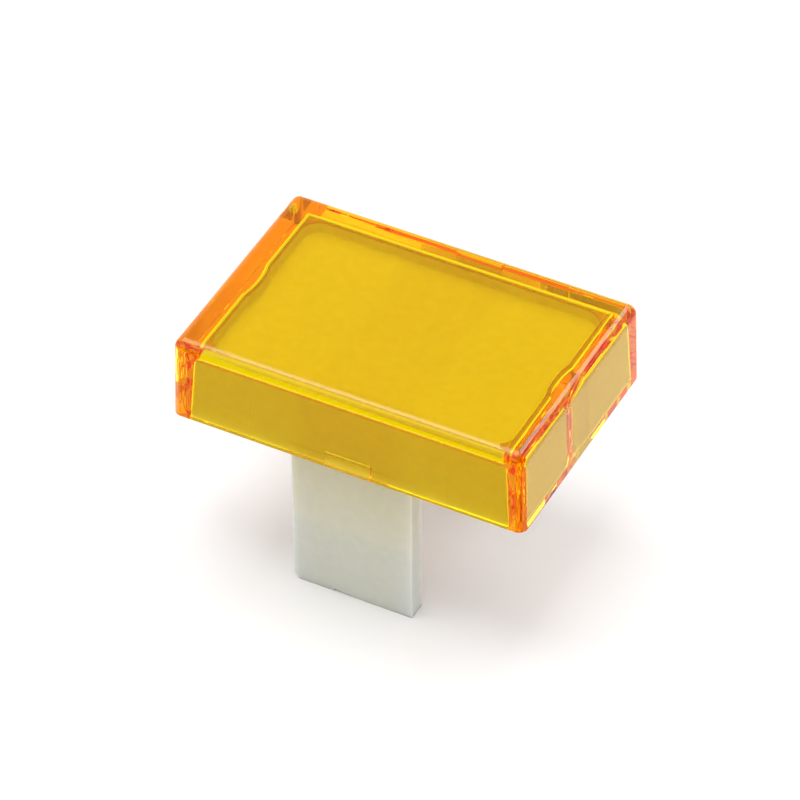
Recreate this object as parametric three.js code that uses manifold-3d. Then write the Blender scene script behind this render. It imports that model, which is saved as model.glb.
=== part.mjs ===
// Rectangular cap for an illuminated pushbutton switch: a transparent amber lens that slips over a white
// diffuser, whose two flat legs plug into the switch. Millimetres, +Z up, X along the cap, Y across it.
// The origin is under the middle of the cap, level with the leg tips; the lamp shines up into the diffuser.
import * as THREE from "three";
import { mergeVertices } from "three/addons/utils/BufferGeometryUtils.js";
import Module from "manifold-3d";

const wasm = await Module();
wasm.setup();

// ---- driving dimensions ------------------------------------------------------------------------------------
const CAP_LENGTH = 24.0; // lens, along X, at its top face
const CAP_WIDTH = 16.1; // lens, along Y, at its top face
const CAP_HEIGHT = 6.0; // lens, top face to rim
const LEG_DROP = 11.1; // leg tips below the lens's rim
const DRAFT = 0.13; // how much further out each outer side of the lens is at its rim
const LENS_CORNER = 0.6; // radius of the lens's upright corners
const LENS_EDGE = 0.72; // radius round the lens's top face
const LENS_TOP = 1.3; // thickness of the lens's top
const WALL_AT_TOP = [1.35, 0.9]; // thickness of the lens's end walls and of its side walls, under the top
const WALL_AT_RIM = [1.15, 0.65]; // and at the rim
const CAVITY_CORNER = 0.1;
const CAVITY_EDGE = 0.45; // radius where the cavity's walls meet its ceiling

const SIDE_GAP = 0.05; // between lens and diffuser, all round
const TOP_GAP = 0.05; // between the lens's underside and the diffuser
const DIFFUSER_EDGE = 0.3; // radius round the diffuser's top
const DIFFUSER_CORNER = 0.1;
const DIFFUSER_WALL = 1.0;
const INSIDE_CORNER = 0.3; // of the hollow under the diffuser's roof
const INSIDE_EDGE = 0.3;
const TRAY_DEPTH = 0.9; // recess in the diffuser's top, for a legend film
const TRAY_INSET = 0.35; // width of the lip round it
const TRAY_CORNER = 1.2;
const TRAY_EDGE = 0.15; // radius where the tray's sides meet its floor

const RIB_LENGTH = 3.2; // low, wide guide rib in the middle of each end wall of the lens
const RIB_HEIGHT = 0.22; // how far its middle stands out of the wall
const PANEL_LENGTH = 13.6; // very shallow recess inside each long wall of the lens
const PANEL_DEPTH = 0.03;
const PANEL_BELOW_TOP = 0.9; // from the lens's underside to the recess's upper shoulder
const LATCH_LENGTH = 3.2; // latch slot at the rim of each long wall, and the nib that clicks into it
const LATCH_SLOT_HEIGHT = 0.95;
const LATCH_SLOT_DEPTH = 0.16;
const NIB_HEIGHT = 0.5;
const NIB_DEPTH = 0.12;
const NIB_BELOW_SHOULDER = 0.1;

const LEG_WIDTH = 8.3;
const LEG_THICKNESS = 1.35;
const LEG_CHAMFER_X = 0.3; // on one lower corner of each leg
const LEG_CHAMFER_Z = 0.52;
const GATE_START = -1.35; // the moulding gate's scar in each leg's lower edge, from its deep end
const GATE_END = 0.95; // to where it fades out
const GATE_DEPTH = 0.2;
const BEAD_LENGTH = 5.6; // latch bead across the inner face of each leg
const BEAD_RADIUS = 0.4;
const BEAD_HEIGHT = 2.7;
const BEAD_SINK = 0.15; // how far the bead's axis lies inside the leg

// ---- heights worked out from them --------------------------------------------------------------------------
const RIM_Z = LEG_DROP;
const TOP_Z = RIM_Z + CAP_HEIGHT;
const UNDERSIDE_Z = TOP_Z - LENS_TOP;
const DIFFUSER_TOP_Z = UNDERSIDE_Z - TOP_GAP;
const ROOF_Z = DIFFUSER_TOP_Z - TRAY_DEPTH - DIFFUSER_WALL;
const OVERSHOOT = 1; // how far a cutter runs past the face it opens

// half lengths and half widths [x, y] of the lens, its cavity and the diffuser at a height
const grown = (half, amount) => half.map((value) => value + amount);
const lensHalf = (z) => grown([CAP_LENGTH / 2, CAP_WIDTH / 2], (DRAFT * (TOP_Z - z)) / CAP_HEIGHT);
const cavityHalf = (z) => {
  const share = (z - RIM_Z) / (UNDERSIDE_Z - RIM_Z);
  const wall = WALL_AT_RIM.map((low, axis) => low + (WALL_AT_TOP[axis] - low) * share);
  return lensHalf(z).map((half, axis) => half - wall[axis]);
};
const diffuserHalf = (z) => grown(cavityHalf(z), -SIDE_GAP);

// ---- shapes ------------------------------------------------------------------------------------------------
const ARC_STEPS = 6; // straight steps in a quarter turn
const RIB_STEPS = 12; // straight steps across a rib
const SHARPEST = 0.02; // smallest corner radius a ring is given

// a rectangle with rounded corners at a height, as a ring of points
function roundedRing(z, [halfX, halfY], corner) {
  const radius = Math.max(corner, SHARPEST);
  const centres = [[1, 1], [-1, 1], [-1, -1], [1, -1]];
  const ring = centres.flatMap(([sx, sy], quarter) =>
    Array.from({ length: ARC_STEPS + 1 }, (_, step) => {
      const turn = ((quarter + step / ARC_STEPS) * Math.PI) / 2;
      const x = sx * (halfX - radius) + radius * Math.cos(turn);
      return [x, sy * (halfY - radius) + radius * Math.sin(turn)];
    }),
  );
  return { z, ring };
}

// rings that round the edge where the sides of a body meet its flat top, from the lowest up
function roundedTop(halfAt, corner, topZ, radius) {
  return Array.from({ length: ARC_STEPS + 1 }, (_, step) => {
    const turn = ((step / ARC_STEPS) * Math.PI) / 2;
    const z = topZ - radius * (1 - Math.sin(turn));
    const inset = radius * (1 - Math.cos(turn));
    return roundedRing(z, grown(halfAt(z), -inset), corner - inset);
  });
}

// a closed body through rings of equal point count, from the lowest up
function loft(levels) {
  const count = levels[0].ring.length;
  const positions = levels.flatMap(({ ring, z }) => ring.flatMap(([x, y]) => [x, y, z]));
  const faces = [];
  for (let level = 0; level + 1 < levels.length; level += 1) {
    for (let i = 0; i < count; i += 1) {
      const [a, b] = [level * count + i, level * count + ((i + 1) % count)];
      faces.push(a, b, b + count, a, b + count, a + count);
    }
  }
  const last = (levels.length - 1) * count;
  for (let i = 1; i + 1 < count; i += 1) {
    faces.push(0, i + 1, i, last, last + i, last + i + 1);
  }
  const geometry = new THREE.BufferGeometry();
  geometry.setAttribute("position", new THREE.Float32BufferAttribute(positions, 3));
  geometry.setIndex(faces);
  return geometry;
}

// a profile of [across, z] points pushed along X, centred on x = 0
function bar(points, length) {
  const shape = new THREE.Shape(points.map(([across, z]) => new THREE.Vector2(across, z)));
  const geometry = new THREE.ExtrudeGeometry(shape, { depth: length, bevelEnabled: false });
  geometry.translate(0, 0, -length / 2);
  return geometry.applyMatrix4(new THREE.Matrix4().makeBasis(
    new THREE.Vector3(0, 1, 0), new THREE.Vector3(0, 0, 1), new THREE.Vector3(1, 0, 0),
  ));
}

// ---- solids ------------------------------------------------------------------------------------------------
function toSolid(geometry) {
  const bare = geometry.clone();
  bare.deleteAttribute("normal");
  bare.deleteAttribute("uv");
  const merged = mergeVertices(bare, 1e-5);
  return new wasm.Manifold(new wasm.Mesh({
    numProp: 3,
    vertProperties: new Float32Array(merged.attributes.position.array),
    triVerts: new Uint32Array(merged.index.array),
  }));
}

function toMesh(name, solid, look) {
  const { vertProperties, triVerts } = solid.getMesh();
  const geometry = new THREE.BufferGeometry();
  geometry.setAttribute("position", new THREE.BufferAttribute(new Float32Array(vertProperties), 3));
  geometry.setIndex(new THREE.BufferAttribute(new Uint32Array(triVerts), 1));
  geometry.computeVertexNormals();
  const mesh = new THREE.Mesh(geometry, new THREE.MeshStandardMaterial(look));
  mesh.name = name;
  return mesh;
}

// everything past the rounded face of the +X end wall's rib; gap moves that face towards the middle of the cap
function beyondRib(gap) {
  const level = (z) => {
    const wall = cavityHalf(z)[0] - gap;
    const face = Array.from({ length: RIB_STEPS + 1 }, (_, step) => {
      const share = (2 * step) / RIB_STEPS - 1;
      return [wall - RIB_HEIGHT * (1 - share * share), (-share * RIB_LENGTH) / 2];
    });
    return { z, ring: [...face, [wall + OVERSHOOT, -RIB_LENGTH / 2], [wall + OVERSHOOT, RIB_LENGTH / 2]] };
  };
  const solid = toSolid(loft([level(RIM_Z - OVERSHOOT), level(UNDERSIDE_Z + OVERSHOOT)]));
  return solid.add(solid.mirror([1, 0, 0]));
}

// shallow cut in both long walls, open to the rim, that follows each wall's slope at a depth
function wallCuts(length, depth, topZ) {
  const bottomZ = RIM_Z - OVERSHOOT;
  const [low, high] = [cavityHalf(bottomZ)[1], cavityHalf(topZ)[1]];
  const outline = [
    [low - OVERSHOOT, bottomZ], [low + depth, bottomZ], [high + depth, topZ], [high - OVERSHOOT, topZ],
  ];
  const cut = toSolid(bar(outline, length));
  return cut.add(cut.mirror([0, 1, 0]));
}

function lens() {
  const rim = roundedRing(RIM_Z, lensHalf(RIM_Z), LENS_CORNER);
  const body = toSolid(loft([rim, ...roundedTop(lensHalf, LENS_CORNER, TOP_Z, LENS_EDGE)]));
  const mouth = roundedRing(RIM_Z - OVERSHOOT, cavityHalf(RIM_Z - OVERSHOOT), CAVITY_CORNER);
  const cavity = toSolid(loft([mouth, ...roundedTop(cavityHalf, CAVITY_CORNER, UNDERSIDE_Z, CAVITY_EDGE)]))
    .add(wallCuts(PANEL_LENGTH, PANEL_DEPTH, UNDERSIDE_Z - PANEL_BELOW_TOP))
    .add(wallCuts(LATCH_LENGTH, LATCH_SLOT_DEPTH, RIM_Z + LATCH_SLOT_HEIGHT))
    .subtract(beyondRib(0));
  return body.subtract(cavity);
}

// everything that lies within the diffuser's sides, from its top down to a height
function diffuserEnvelope(bottomZ) {
  const rimHalf = diffuserHalf(RIM_Z);
  const foot = bottomZ < RIM_Z ? [roundedRing(bottomZ, rimHalf, DIFFUSER_CORNER)] : [];
  const rim = roundedRing(RIM_Z, rimHalf, DIFFUSER_CORNER);
  const top = roundedTop(diffuserHalf, DIFFUSER_CORNER, DIFFUSER_TOP_Z, DIFFUSER_EDGE);
  return toSolid(loft([...foot, rim, ...top]));
}

// the recess in the diffuser's top, inside its lip
function tray() {
  const floorZ = DIFFUSER_TOP_Z - TRAY_DEPTH;
  const half = grown(diffuserHalf(DIFFUSER_TOP_Z), -TRAY_INSET);
  const upsideDown = roundedTop(() => half, TRAY_CORNER, -floorZ, TRAY_EDGE);
  const floor = upsideDown.reverse().map(({ z, ring }) => ({ z: -z, ring }));
  const mouth = roundedRing(DIFFUSER_TOP_Z + OVERSHOOT, half, TRAY_CORNER);
  return toSolid(loft([...floor, mouth])).subtract(beyondRib(SIDE_GAP + TRAY_INSET));
}

// the leg on the -Y side; above the rim it thickens the diffuser's wall
function leg() {
  const outer = -diffuserHalf(RIM_Z)[1];
  const [left, right] = [-LEG_WIDTH / 2, LEG_WIDTH / 2];
  const rootZ = ROOF_Z + DIFFUSER_WALL / 2;
  const shape = new THREE.Shape([
    [left + LEG_CHAMFER_X, 0], [GATE_START, 0], [GATE_START, GATE_DEPTH], [GATE_END, 0], [right, 0],
    [right, rootZ], [left, rootZ], [left, LEG_CHAMFER_Z],
  ].map(([x, z]) => new THREE.Vector2(x, z)));
  const plate = new THREE.ExtrudeGeometry(shape, { depth: LEG_THICKNESS, bevelEnabled: false });
  plate.rotateX(Math.PI / 2).translate(0, outer + LEG_THICKNESS, 0);
  const bead = new THREE.CylinderGeometry(BEAD_RADIUS, BEAD_RADIUS, BEAD_LENGTH, 4 * ARC_STEPS);
  bead.rotateZ(Math.PI / 2).translate(0, outer + LEG_THICKNESS - BEAD_SINK, BEAD_HEIGHT);
  return toSolid(plate).intersect(diffuserEnvelope(-OVERSHOOT)).add(toSolid(bead));
}

// the nib on the +Y side, with a sloping lower face that lets the lens ride over it
function nib() {
  const topZ = RIM_Z + LATCH_SLOT_HEIGHT - NIB_BELOW_SHOULDER;
  const lowZ = topZ - NIB_HEIGHT;
  const wall = diffuserHalf(topZ)[1];
  const root = wall - DIFFUSER_WALL / 2;
  const outline = [[root, lowZ], [wall, lowZ], [wall + NIB_DEPTH, topZ], [root, topZ]];
  return toSolid(bar(outline, LATCH_LENGTH - 2 * SIDE_GAP));
}

function diffuser() {
  const insideHalf = (z) => grown(diffuserHalf(z), -DIFFUSER_WALL);
  const mouth = roundedRing(RIM_Z - OVERSHOOT, insideHalf(RIM_Z - OVERSHOOT), INSIDE_CORNER);
  const inside = toSolid(loft([mouth, ...roundedTop(insideHalf, INSIDE_CORNER, ROOF_Z, INSIDE_EDGE)]));
  const tub = diffuserEnvelope(RIM_Z).subtract(inside).subtract(beyondRib(SIDE_GAP)).subtract(tray());
  const sides = leg().add(nib().mirror([0, 1, 0]));
  return tub.add(sides).add(sides.mirror([0, 1, 0]));
}

const AMBER = { color: 0xf5a80c, roughness: 0.06, metalness: 0, transparent: true, opacity: 0.6 };
const MILKY_WHITE = { color: 0xe9e8de, roughness: 0.5, metalness: 0 };

const cap = new THREE.Group();
cap.add(toMesh("lens", lens(), AMBER));
cap.add(toMesh("diffuser", diffuser(), MILKY_WHITE));

export default cap;
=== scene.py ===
"""Illuminated pushbutton cap: an amber lens over a milky white diffuser that stands on its two flat legs.

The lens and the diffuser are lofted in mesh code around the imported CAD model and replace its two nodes.
Lengths are in millimetres until a point goes into a mesh or a material, which are in metres.
"""

import math

import bmesh
import bpy
from mathutils import Matrix, Vector


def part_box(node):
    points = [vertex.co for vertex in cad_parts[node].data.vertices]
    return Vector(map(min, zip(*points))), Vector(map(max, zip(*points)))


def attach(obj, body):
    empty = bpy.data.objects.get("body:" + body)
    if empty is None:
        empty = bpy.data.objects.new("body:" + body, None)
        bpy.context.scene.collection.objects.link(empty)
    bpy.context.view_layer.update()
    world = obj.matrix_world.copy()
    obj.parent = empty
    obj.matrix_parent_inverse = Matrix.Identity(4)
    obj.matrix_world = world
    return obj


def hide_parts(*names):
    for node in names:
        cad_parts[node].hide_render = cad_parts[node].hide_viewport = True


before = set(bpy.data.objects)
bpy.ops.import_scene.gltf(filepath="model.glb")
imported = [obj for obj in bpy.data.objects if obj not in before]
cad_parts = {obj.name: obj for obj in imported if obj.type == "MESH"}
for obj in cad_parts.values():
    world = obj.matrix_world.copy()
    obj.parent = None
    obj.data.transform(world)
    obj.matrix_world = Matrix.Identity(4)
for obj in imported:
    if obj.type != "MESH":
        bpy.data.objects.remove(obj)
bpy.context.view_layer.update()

MM = 0.001

# ---- camera ----
CAMERA_AZIMUTH = 27.64  # degrees round from -Y towards +X
CAMERA_ELEVATION = 42.05
CAMERA_ROLL = -0.49
CAMERA_DISTANCE = 338.8  # millimetres from the lens's middle
CAMERA_ASIDE = (-0.40, -2.61)  # how far the camera stands aside of the lens's middle, right and up
FOCAL_LENGTH = 247.3
CLIP_START, CLIP_END = 0.01, 10  # metres

# ---- lens ----
LENS_DRAFT = 0.13  # each outer side is this much further out at the rim
LENS_CORNER = 0.6
LENS_EDGE = 0.72  # fillet between the top and the sides
LENS_TOP = 1.3  # thickness
WALL_AT_TOP = (1.35, 0.9)  # of the end walls and of the side walls, under the lens's top
WALL_AT_RIM = (1.15, 0.65)
CAVITY_CORNER = 0.1
CAVITY_FILLET = 0.45
RIM_FILLET = 0.06
RIB_HALF = 1.6  # half the width of the upright rib inside each end wall
RIB_HEIGHT = 0.22
PANEL_HALF = 6.8  # half the length of the shallow recess inside each side wall
PANEL_DEPTH = 0.03
PANEL_BELOW_TOP = 0.9
PANEL_SLOPE = 0.2  # half the height over which the recess fades in
SLOT_HALF = 1.6  # half the length of the latch slot inside each side wall
SLOT_DEPTH = 0.16
SLOT_HEIGHT = 0.95
SLOT_SLOPE = 0.02
STEP_RUN = 0.04  # how far along the wall a step in it takes

# ---- diffuser ----
SIDE_GAP = 0.05
TOP_GAP = 0.05
DIFFUSER_EDGE = 0.3
DIFFUSER_CORNER = 0.1
DIFFUSER_WALL = 1.0
HOLLOW_FILLET = 0.3
TRAY_DEPTH = 0.9  # of the recess in the diffuser's top
TRAY_INSET = 0.35
TRAY_CORNER = 1.2
TRAY_FILLET = 0.15  # between the tray's walls and its floor
TRAY_EDGE = 0.08  # between the lip and the tray's walls
LEG_WIDTH = 8.3
LEG_THICKNESS = 1.35
LEG_CHAMFER = (0.3, 0.52)  # across and up
LEG_ROOT = 0.6  # how far a leg runs up into the tub's wall
GATE_SCAR = (-1.35, 0.95, 0.2)  # from, to, depth
GATE_RUN = 0.05
BEAD_LENGTH = 5.6  # latch bead across the inner face of each leg
BEAD_RADIUS = 0.4
BEAD_HEIGHT = 2.7
BEAD_SINK = 0.15
NIB_HALF = 1.55  # half the length of the nib on each side, which sits in the lens's latch slot
NIB_HEIGHT = 0.5
NIB_DEPTH = 0.12
NIB_TOP = 0.85  # above the rim
NIB_ROOT = 0.5

# ---- mesh fineness ----
ARC_STEPS = 8
SMALL_ARC_STEPS = 4
RIM_ARC_STEPS = 3
RIB_STEPS = 24
SHARPEST_CORNER = 0.02
SHARP_ANGLE = 35  # degrees
FLAT_FACE_WEIGHT = 100  # the most the modifier takes
WELD = 1e-7  # metres

# ---- amber plastic: the tints and the gloss are given ----
AMBER_IOR = 1.55
AMBER_TINT = (1.0, 0.87, 0.6, 1)  # where light crosses the surface
RIM_SHADE_TINT = (0.95, 0.6, 0.1, 1)  # where it leaves through the side walls' rim: painted shade, the deeper orange of the shadowed floor seen through the rim
# painted shade at the end walls' rim, darker and redder than at the side walls
END_RIM_SHADE_TINT = (0.78, 0.13, 0.1, 1)
DYE = (0.9994, 0.9865, 0.0, 1)
DYE_DENSITY = 4000
EDGE_GLOSS = 0.7
LIT_SIDE = (1, -1, 0)
GLOSS_BAND = (0.05, 0.12, 0.8, 0.95)  # lean towards LIT_SIDE where gloss begins, is full, fades and ends
AMBER_RIPPLE = (260.0, 2.0, 0.004, 0.0001)  # waves per metre, detail, strength, metres

# ---- milky plastic: the colours are given, for the cap with its lens on ----
LEG_SHADE_COLOURS = (  # painted shade and light: greyer as shaded under the cap, warmer towards the top as lit through the amber lens; at shares of the leg's length, from its tip
    (0.0, (0.55, 0.56, 0.49, 1)),
    (0.45, (0.56, 0.55, 0.45, 1)),
    (0.52, (0.58, 0.56, 0.43, 1)),
    (0.95, (0.55, 0.50, 0.33, 1)),
)
# painted light: the tub is paler and creamier than the legs, as lit through the amber lens
TUB_LIT_COLOUR = (0.95, 0.84, 0.76, 1)
# painted shade: the browner lip round the tray
LIP_SHADE_COLOUR = (0.74, 0.42, 0.2, 1)
TUB_TOP_SHADE_COLOURS = (  # painted shade at the tub's top edge and lip, at shares of the diffuser's whole height
    (0.984, (0.95, 0.82, 0.72, 1)),
    (0.992, LIP_SHADE_COLOUR),
    (1.0, LIP_SHADE_COLOUR),
)
# painted light: the tray's upward-facing floor is paler and cooler than the tub's walls
TRAY_FLOOR_LIT_COLOUR = (0.92, 0.9, 0.86, 1)
FLOOR_BELOW_LIP = 0.4  # the tray's floor is at least this far down
FLOOR_LEAN = 0.9  # and looks up at least this much
END_COOL_LIGHT_TINT = (1.04, 1.06, 1.15, 1)  # towards the ends of the cap: painted light, cooler away from the middle where the painted amber light is warmest
COOL_FROM, COOL_TO = 2.4, 4.3  # distance from the middle along the cap
GRAIN = (1500.0, 6.0, 0.94, 1.06)  # waves per metre, detail, darkest, brightest
WEAR = (700.0, 3.0, 0.35, 0.55)  # waves per metre, detail, least and most roughness
SKIN = (6000.0, 4.0, 0.3, 0.00003)  # waves per metre, detail, strength, metres
MILKY_IOR = 1.5
SCATTER_WEIGHT = 0.6
SCATTER_RADIUS = 0.0012  # metres
EVEN_SCATTER = (1.0, 1.0, 1.0)  # red, green and blue light go equally far

# ---- studio, in metres and watts ----
FLOOR_HALF = 1.5
FLOOR_COLOUR = (0.9, 0.9, 0.9, 1)
FLOOR_ROUGHNESS = 0.9
WORLD_COLOUR = (1, 1, 1, 1)
WORLD_STRENGTH = 0.85
LIGHTS = (  # name, place, width and height, power
    ("overhead", (-0.10, 0.0, 0.6), (0.4, 0.4), 1.75),
    ("behind", (0.09, 0.42, 0.45), (0.28, 0.12), 0.5),
)
LIGHT_TARGET = (0, 0, 0.014)
LENS_BOUNCES = 48
DIFFUSE_BOUNCES = 6

# ---- places that follow from the CAD model ----
LENS_LOW, LENS_HIGH = ([v / MM for v in corner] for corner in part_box("lens"))
RIM_Z, TOP_Z = LENS_LOW[2], LENS_HIGH[2]
TOP_HALF = (LENS_HIGH[0] - LENS_DRAFT, LENS_HIGH[1] - LENS_DRAFT)
UNDERSIDE_Z = TOP_Z - LENS_TOP
DIFFUSER_TOP_Z = UNDERSIDE_Z - TOP_GAP
ROOF_Z = DIFFUSER_TOP_Z - TRAY_DEPTH - DIFFUSER_WALL


def inset(half, amount):
    return half[0] - amount, half[1] - amount


def lens_half(z):
    """Half length and half width of the lens's outside at a height."""
    out = LENS_DRAFT * (TOP_Z - z) / (TOP_Z - RIM_Z)
    return TOP_HALF[0] + out, TOP_HALF[1] + out


def cavity_half(z):
    share = (z - RIM_Z) / (UNDERSIDE_Z - RIM_Z)
    walls = (low + (high - low) * share for low, high in zip(WALL_AT_RIM, WALL_AT_TOP))
    return tuple(half - wall for half, wall in zip(lens_half(z), walls))


def diffuser_half(z):
    return inset(cavity_half(z), SIDE_GAP)


def hollow_half(z):
    return inset(diffuser_half(z), DIFFUSER_WALL)


def tray_half(_z):
    """The tray's walls are upright, so every height has the same size."""
    return inset(diffuser_half(DIFFUSER_TOP_Z), TRAY_INSET)


# ---------------------------------------------------------------- mesh building


def arc(centre, radius, start):
    """Points of a quarter turn, counter-clockwise from start degrees."""
    for i in range(ARC_STEPS + 1):
        turn = math.radians(start + 90 * i / ARC_STEPS)
        yield centre[0] + radius * math.cos(turn), centre[1] + radius * math.sin(turn)


def rib_bump(y, height):
    """How far a rib stands out of the wall at a distance from its middle."""
    return height * (1 - (y / RIB_HALF) ** 2)


def half_plan(half, corner, rib, panel, slot):
    """The +X end with its rib, and the +Y side with its recess and slot, counter-clockwise."""
    hx, hy = half
    points = []
    for i in range(RIB_STEPS + 1):
        y = RIB_HALF * (2 * i / RIB_STEPS - 1)
        points.append((hx - rib_bump(y, rib), y))
    points += arc((hx - corner, hy - corner), corner, 0)
    deepest = max(panel, slot)
    steps = (
        (PANEL_HALF, 0.0, panel),
        (SLOT_HALF, panel, deepest),
        (-SLOT_HALF, deepest, panel),
        (-PANEL_HALF, panel, 0.0),
    )
    for x, before, after in steps:
        points.append((x + STEP_RUN / 2, hy + before))
        points.append((x - STEP_RUN / 2, hy + after))
    points += arc((-hx + corner, hy - corner), corner, 90)
    return points


def plan(half, corner, rib=0.0, panel=0.0, slot=0.0):
    """One ring of points round a body: a rounded rectangle, with a rib in each end and steps in each side.

    Every ring has the same number of points in the same order, so any two can be joined.
    """
    points = half_plan(half, corner, rib, panel, slot)
    return points + [(-x, -y) for x, y in points]


def skin(bm, rows):
    """Joins rows of vertices, each a closed ring, with bands of faces, and closes both ends."""
    count = len(rows[0])
    for low, high in zip(rows, rows[1:]):
        for i in range(count):
            j = (i + 1) % count
            bm.faces.new((low[i], low[j], high[j], high[i]))
    bm.faces.new(list(reversed(rows[0])))
    bm.faces.new(rows[-1])


def loft(name, levels):
    """A closed piece through rings of points, each (ring, z)."""
    bm = bmesh.new()
    skin(bm, [[bm.verts.new((x * MM, y * MM, z * MM)) for x, y in ring] for ring, z in levels])
    return finished(name, bm)


def bar(name, outline, half_length):
    """A bar along X through an outline of (y, z) points."""
    bm = bmesh.new()
    ends = (-half_length, half_length)
    skin(bm, [[bm.verts.new((x * MM, y * MM, z * MM)) for y, z in outline] for x in ends])
    return finished(name, bm)


def fillet(half_at, corner, z, radius, upward, steps=ARC_STEPS, **shape):
    """Rings that round the edge where a side meets a flat, from the side to the flat at height z.

    upward is 1 when the flat is above the side and -1 when it is below.
    """
    rings = []
    for i in range(steps + 1):
        turn = math.radians(90 * i / steps)
        level = z - upward * radius * (1 - math.sin(turn))
        pulled = radius * (1 - math.cos(turn))
        ring = plan(inset(half_at(level), pulled), max(corner - pulled, SHARPEST_CORNER), **shape)
        rings.append((ring, level))
    return rings


def finished(name, bm):
    bmesh.ops.remove_doubles(bm, verts=bm.verts, dist=WELD)
    bmesh.ops.recalc_face_normals(bm, faces=bm.faces)
    mesh = bpy.data.meshes.new(name)
    bm.to_mesh(mesh)
    bm.free()
    for face in mesh.polygons:
        face.use_smooth = True
    mesh.set_sharp_from_angle(angle=math.radians(SHARP_ANGLE))
    piece = bpy.data.objects.new(name, mesh)
    bpy.context.collection.objects.link(piece)
    return piece


def flatten_shading(piece):
    """Lets the large flat faces set the shading, so that only the rounded edges shade round."""
    weighted = piece.modifiers.new("weighted_normals", "WEIGHTED_NORMAL")
    weighted.mode = "FACE_AREA"
    weighted.weight = FLAT_FACE_WEIGHT
    weighted.keep_sharp = True


def united(name, parts):
    """Joins overlapping parts into one solid."""
    body = parts[0]
    bpy.context.view_layer.objects.active = body
    for part in parts[1:]:
        union = body.modifiers.new("union", "BOOLEAN")
        union.operation = "UNION"
        union.solver = "EXACT"
        union.object = part
        bpy.ops.object.modifier_apply(modifier=union.name)
        bpy.data.objects.remove(part)
    body.name = name
    body.data.name = name
    return body


# ---------------------------------------------------------------- lens


def cavity_levels():
    """Rings of the lens's cavity, from its ceiling down to the rim."""
    levels = fillet(cavity_half, CAVITY_CORNER, UNDERSIDE_Z, CAVITY_FILLET, 1, rib=RIB_HEIGHT)
    levels.reverse()
    shoulder = UNDERSIDE_Z - PANEL_BELOW_TOP
    slot_top = RIM_Z + SLOT_HEIGHT
    for z, panel, slot in (
        (shoulder + PANEL_SLOPE, 0.0, 0.0),
        (shoulder - PANEL_SLOPE, PANEL_DEPTH, 0.0),
        (slot_top + SLOT_SLOPE, PANEL_DEPTH, 0.0),
        (slot_top - SLOT_SLOPE, PANEL_DEPTH, SLOT_DEPTH),
        (RIM_Z + RIM_FILLET, PANEL_DEPTH, SLOT_DEPTH),
    ):
        levels.append((plan(cavity_half(z), CAVITY_CORNER, RIB_HEIGHT, panel, slot), z))
    rim_half = inset(cavity_half(RIM_Z), -RIM_FILLET)
    rim = plan(rim_half, CAVITY_CORNER + RIM_FILLET, RIB_HEIGHT, PANEL_DEPTH, SLOT_DEPTH)
    levels.append((rim, RIM_Z))
    return levels


def outside_levels():
    """Rings of the lens's outside, from the rim up over the rounded top edge."""
    levels = fillet(lens_half, LENS_CORNER, RIM_Z, RIM_FILLET, -1, RIM_ARC_STEPS)
    levels.reverse()
    return levels + fillet(lens_half, LENS_CORNER, TOP_Z, LENS_EDGE, 1)


def make_lens():
    return loft("amber_lens", cavity_levels() + outside_levels())


# ---------------------------------------------------------------- diffuser


def lip_levels():
    """Rings over the rounded lip, from the diffuser's top to the tray's wall."""
    levels = []
    for i in range(SMALL_ARC_STEPS + 1):
        turn = math.radians(90 * i / SMALL_ARC_STEPS)
        pulled = TRAY_EDGE * (1 - math.sin(turn))
        level = DIFFUSER_TOP_Z - TRAY_EDGE * (1 - math.cos(turn))
        ring = plan(inset(tray_half(level), -pulled), TRAY_CORNER + pulled, rib=RIB_HEIGHT)
        levels.append((ring, level))
    return levels


def make_tub():
    """The tub, open below, from its hollow out round the rim, up the outside and down into the tray."""
    tray_floor = DIFFUSER_TOP_Z - TRAY_DEPTH
    levels = fillet(hollow_half, DIFFUSER_CORNER, ROOF_Z, HOLLOW_FILLET, 1, SMALL_ARC_STEPS)
    levels.reverse()
    levels.append((plan(hollow_half(RIM_Z), DIFFUSER_CORNER), RIM_Z))
    levels.append((plan(diffuser_half(RIM_Z), DIFFUSER_CORNER, rib=RIB_HEIGHT), RIM_Z))
    levels += fillet(diffuser_half, DIFFUSER_CORNER, DIFFUSER_TOP_Z, DIFFUSER_EDGE, 1, rib=RIB_HEIGHT)
    levels += lip_levels()
    levels += fillet(tray_half, TRAY_CORNER, tray_floor, TRAY_FILLET, -1, SMALL_ARC_STEPS, rib=RIB_HEIGHT)
    return loft("diffuser_tub", levels)


def make_leg(side):
    """A leg, as a plate flush with the diffuser's wall; side is -1 for the front leg, 1 for the back one."""
    outer = side * diffuser_half(RIM_Z)[1]
    inner = outer - side * LEG_THICKNESS
    left, right = -LEG_WIDTH / 2, LEG_WIDTH / 2
    scar_from, scar_to, scar_depth = GATE_SCAR
    root = RIM_Z + LEG_ROOT
    outline = [
        (left + LEG_CHAMFER[0], 0),
        (scar_from, 0),
        (scar_from + GATE_RUN, scar_depth),
        (scar_to, 0),
        (right, 0),
        (right, root),
        (left, root),
        (left, LEG_CHAMFER[1]),
    ]
    bm = bmesh.new()
    skin(bm, [[bm.verts.new((x * MM, y * MM, z * MM)) for x, z in outline] for y in (outer, inner)])
    return finished("leg", bm)


def make_bead(side):
    middle = side * (diffuser_half(RIM_Z)[1] - LEG_THICKNESS + BEAD_SINK)
    steps = 4 * ARC_STEPS
    turns = [math.tau * i / steps for i in range(steps)]
    outline = [(middle + BEAD_RADIUS * math.cos(t), BEAD_HEIGHT + BEAD_RADIUS * math.sin(t)) for t in turns]
    return bar("bead", outline, BEAD_LENGTH / 2)


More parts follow.
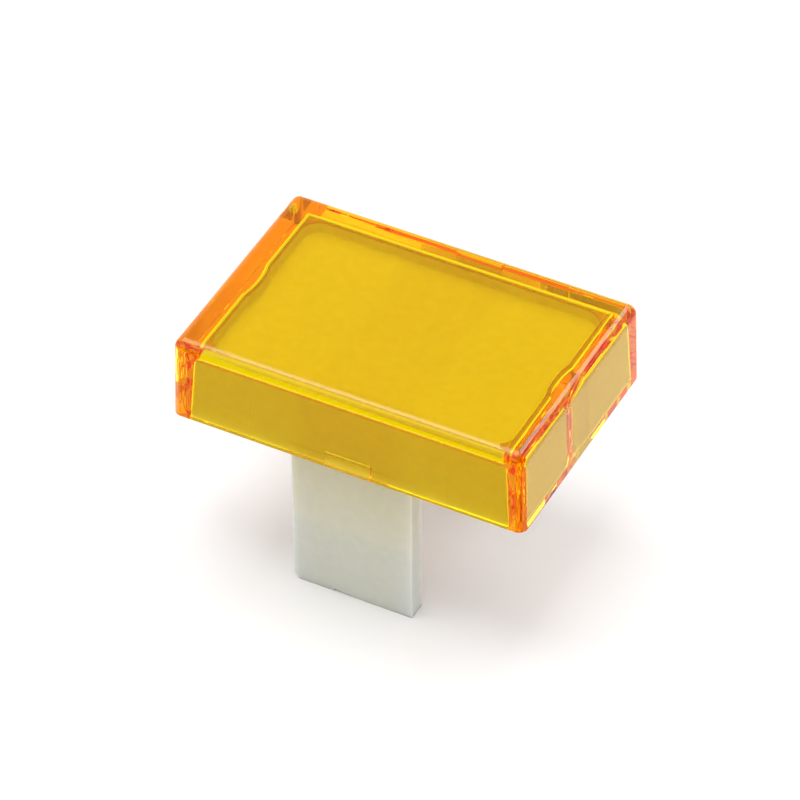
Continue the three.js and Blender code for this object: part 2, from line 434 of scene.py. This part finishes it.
def make_nib(side):
    top = RIM_Z + NIB_TOP
    wall = diffuser_half(top)[1]
    outline = [
        (wall - NIB_ROOT, top - NIB_HEIGHT),
        (wall, top - NIB_HEIGHT),
        (wall + NIB_DEPTH, top),
        (wall - NIB_ROOT, top),
    ]
    return bar("nib", [(side * y, z) for y, z in outline], NIB_HALF)


def make_diffuser():
    parts = [make(side) for make in (make_leg, make_bead, make_nib) for side in (-1, 1)]
    return united("white_diffuser", [make_tub()] + parts)


# ---------------------------------------------------------------- materials


class Surface:
    """A node material under construction. A value can be a number, a colour or another node's output."""

    def __init__(self, name):
        self.material = bpy.data.materials.new(name)
        self.material.use_nodes = True
        self.nodes = self.material.node_tree.nodes
        self.links = self.material.node_tree.links
        self.shader = self.nodes["Principled BSDF"].inputs
        place = self.nodes.new("ShaderNodeTexCoord")
        self.position = place.outputs["Object"]
        self.normal = place.outputs["Normal"]

    def feed(self, socket, value):
        if isinstance(value, bpy.types.NodeSocket):
            self.links.new(value, socket)
        else:
            socket.default_value = value

    def axis(self, vector, name):
        split = self.nodes.new("ShaderNodeSeparateXYZ")
        self.feed(split.inputs[0], vector)
        return split.outputs[name]

    def math(self, operation, *values):
        node = self.nodes.new("ShaderNodeMath")
        node.operation = operation
        for socket, value in zip(node.inputs, values):
            self.feed(socket, value)
        return node.outputs[0]

    def lean(self, direction):
        """How far the surface leans towards a direction."""
        node = self.nodes.new("ShaderNodeVectorMath")
        node.operation = "DOT_PRODUCT"
        self.feed(node.inputs[0], self.normal)
        self.feed(node.inputs[1], direction)
        return node.outputs["Value"]

    def mix(self, factor, first, second, blend="MIX"):
        node = self.nodes.new("ShaderNodeMix")
        node.data_type = "RGBA"
        node.blend_type = blend
        for name, value in (("Factor", factor), ("A", first), ("B", second)):
            self.feed(node.inputs[name], value)
        return node.outputs["Result"]

    def ramp(self, value, stops):
        node = self.nodes.new("ShaderNodeValToRGB")
        elements = node.color_ramp.elements
        for element, (position, colour) in zip(elements, (stops[0], stops[-1])):
            element.position = position
            element.color = colour
        for position, colour in stops[1:-1]:
            elements.new(position).color = colour
        self.feed(node.inputs["Fac"], value)
        return node.outputs["Color"]

    def remap(self, value, start, end, low=0.0, high=1.0, interpolation="LINEAR"):
        node = self.nodes.new("ShaderNodeMapRange")
        node.interpolation_type = interpolation
        settings = {"Value": value, "From Min": start, "From Max": end, "To Min": low, "To Max": high}
        for name, setting in settings.items():
            self.feed(node.inputs[name], setting)
        return node.outputs["Result"]

    def noise(self, scale, detail):
        node = self.nodes.new("ShaderNodeTexNoise")
        node.inputs["Scale"].default_value = scale
        node.inputs["Detail"].default_value = detail
        self.feed(node.inputs["Vector"], self.position)
        return node.outputs["Fac"]

    def bump(self, scale, detail, strength, distance):
        node = self.nodes.new("ShaderNodeBump")
        node.inputs["Strength"].default_value = strength
        node.inputs["Distance"].default_value = distance
        self.feed(node.inputs["Height"], self.noise(scale, detail))
        self.feed(self.shader["Normal"], node.outputs["Normal"])


def add_dye(surface):
    """Absorption that deepens the colour with the light's way through the plastic."""
    volume = surface.nodes.new("ShaderNodeVolumeAbsorption")
    volume.inputs["Color"].default_value = DYE
    volume.inputs["Density"].default_value = DYE_DENSITY
    surface.feed(surface.nodes["Material Output"].inputs["Volume"], volume.outputs[0])


def amber_plastic():
    """Clear amber plastic: a tint where light crosses its surface, deeper at the rim, and a dye inside. The
    deeper tint at the rim is painted shade, the orange of the shadowed floor seen through it.

    Its flat faces mirror almost nothing; only the rounded edges on the lit side keep their gloss.
    """
    surface = Surface("amber_plastic")
    surface.shader["Roughness"].default_value = 0.0
    surface.shader["IOR"].default_value = AMBER_IOR
    surface.shader["Transmission Weight"].default_value = 1.0
    aside = surface.math("ABSOLUTE", surface.axis(surface.position, "X"))
    at_end = surface.math("GREATER_THAN", aside, cavity_half(RIM_Z)[0] * MM)
    above_rim = surface.math("GREATER_THAN", surface.axis(surface.position, "Z"), (RIM_Z + RIM_FILLET) * MM)
    rim_shade_tint = surface.mix(at_end, RIM_SHADE_TINT, END_RIM_SHADE_TINT)
    surface.feed(surface.shader["Base Color"], surface.mix(above_rim, rim_shade_tint, AMBER_TINT))
    dull, glossy = (0, 0, 0, 1), (EDGE_GLOSS, EDGE_GLOSS, EDGE_GLOSS, 1)
    gloss = surface.ramp(surface.lean(LIT_SIDE), list(zip(GLOSS_BAND, (dull, glossy, glossy, dull))))
    surface.feed(surface.shader["Specular Tint"], gloss)
    surface.bump(*AMBER_RIPPLE)
    add_dye(surface)
    return surface.material


def light_and_shade_by_height(surface):
    """Painted shade and light by height: the legs are greyer than the tub, as shaded under the cap, the tub
    paler as lit through the amber lens, and the lip round the tray is browner, painted shade.
    """
    leg_length = RIM_Z / DIFFUSER_TOP_Z
    stops = [(share * leg_length, colour) for share, colour in LEG_SHADE_COLOURS]
    height = surface.remap(surface.axis(surface.position, "Z"), 0, DIFFUSER_TOP_Z * MM)
    return surface.ramp(height, stops + [(leg_length, TUB_LIT_COLOUR), *TUB_TOP_SHADE_COLOURS])


def on_tray_floor(surface):
    """1 on the tray's floor, which looks up and lies below the lip; 0 elsewhere."""
    looks_up = surface.math("GREATER_THAN", surface.axis(surface.normal, "Z"), FLOOR_LEAN)
    highest = (DIFFUSER_TOP_Z - FLOOR_BELOW_LIP) * MM
    below_lip = surface.math("LESS_THAN", surface.axis(surface.position, "Z"), highest)
    return surface.math("MULTIPLY", looks_up, below_lip)


def milky_plastic():
    """White plastic that scatters light, with a faint grain and uneven polish, and painted light and shade
    in its colour.
    """
    surface = Surface("milky_plastic")
    colour = surface.mix(on_tray_floor(surface), light_and_shade_by_height(surface), TRAY_FLOOR_LIT_COLOUR)
    aside = surface.math("ABSOLUTE", surface.axis(surface.position, "X"))
    outward = surface.remap(aside, COOL_FROM * MM, COOL_TO * MM, interpolation="SMOOTHSTEP")
    colour = surface.mix(outward, colour, END_COOL_LIGHT_TINT, "MULTIPLY")
    scale, detail, darkest, brightest = GRAIN
    grain = surface.remap(surface.noise(scale, detail), 0, 1, darkest, brightest)
    surface.feed(surface.shader["Base Color"], surface.mix(1.0, colour, grain, "MULTIPLY"))
    scale, detail, least, most = WEAR
    wear = surface.remap(surface.noise(scale, detail), 0, 1, least, most)
    surface.feed(surface.shader["Roughness"], wear)
    surface.bump(*SKIN)
    surface.shader["IOR"].default_value = MILKY_IOR
    surface.shader["Subsurface Weight"].default_value = SCATTER_WEIGHT
    surface.shader["Subsurface Radius"].default_value = EVEN_SCATTER
    surface.shader["Subsurface Scale"].default_value = SCATTER_RADIUS
    return surface.material


def floor_material():
    surface = Surface("floor")
    surface.shader["Base Color"].default_value = FLOOR_COLOUR
    surface.shader["Roughness"].default_value = FLOOR_ROUGHNESS
    return surface.material


# ---------------------------------------------------------------- stage


def make_camera():
    azimuth, elevation, roll = map(math.radians, (CAMERA_AZIMUTH, CAMERA_ELEVATION, CAMERA_ROLL))
    right = Vector((math.cos(azimuth), math.sin(azimuth), 0))
    away = Vector((math.sin(azimuth), -math.cos(azimuth), 0))
    back = away * math.cos(elevation) + Vector((0, 0, math.sin(elevation)))
    up = back.cross(right)
    turn = Matrix((right, up, back)).transposed() @ Matrix.Rotation(roll, 3, "Z")
    middle = Vector((0, 0, (RIM_Z + TOP_Z) / 2))
    place = (middle + turn @ Vector((*CAMERA_ASIDE, CAMERA_DISTANCE))) * MM
    data = bpy.data.cameras.new("camera")
    data.lens = FOCAL_LENGTH
    data.clip_start = CLIP_START
    data.clip_end = CLIP_END
    camera = bpy.data.objects.new("camera", data)
    camera.matrix_world = Matrix.Translation(place) @ turn.to_4x4()
    bpy.context.collection.objects.link(camera)
    bpy.context.scene.camera = camera


def make_floor():
    bm = bmesh.new()
    corners = [(-1, -1), (1, -1), (1, 1), (-1, 1)]
    bm.faces.new([bm.verts.new((x * FLOOR_HALF, y * FLOOR_HALF, 0)) for x, y in corners])
    floor = finished("floor", bm)
    floor.data.materials.append(floor_material())


def area_light(name, place, size, power):
    """A soft box that faces the middle of the cap."""
    data = bpy.data.lights.new(name, "AREA")
    data.shape = "RECTANGLE"
    data.size, data.size_y = size
    data.energy = power
    light = bpy.data.objects.new(name, data)
    light.location = place
    aim = Vector(LIGHT_TARGET) - Vector(place)
    light.rotation_euler = aim.to_track_quat("-Z", "Y").to_euler()
    bpy.context.collection.objects.link(light)


def make_world():
    world = bpy.data.worlds.new("studio")
    world.use_nodes = True
    background = world.node_tree.nodes["Background"]
    background.inputs["Color"].default_value = WORLD_COLOUR
    background.inputs["Strength"].default_value = WORLD_STRENGTH
    bpy.context.scene.world = world


def set_bounces():
    """Light bounces many times between the lens's faces before it comes out."""
    cycles = bpy.context.scene.cycles
    cycles.max_bounces = LENS_BOUNCES
    cycles.transmission_bounces = LENS_BOUNCES
    cycles.glossy_bounces = LENS_BOUNCES
    cycles.diffuse_bounces = DIFFUSE_BOUNCES


def dress(piece, material):
    piece.data.materials.clear()
    piece.data.materials.append(material)
    flatten_shading(piece)


def main():
    make_camera()
    make_floor()
    make_world()
    for light in LIGHTS:
        area_light(*light)
    bpy.context.scene.view_settings.view_transform = "Standard"
    set_bounces()

    lens = make_lens()
    dress(lens, amber_plastic())
    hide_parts("lens")
    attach(lens, "cover")

    diffuser = make_diffuser()
    dress(diffuser, milky_plastic())
    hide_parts("diffuser")
    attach(diffuser, "carrier")


main()
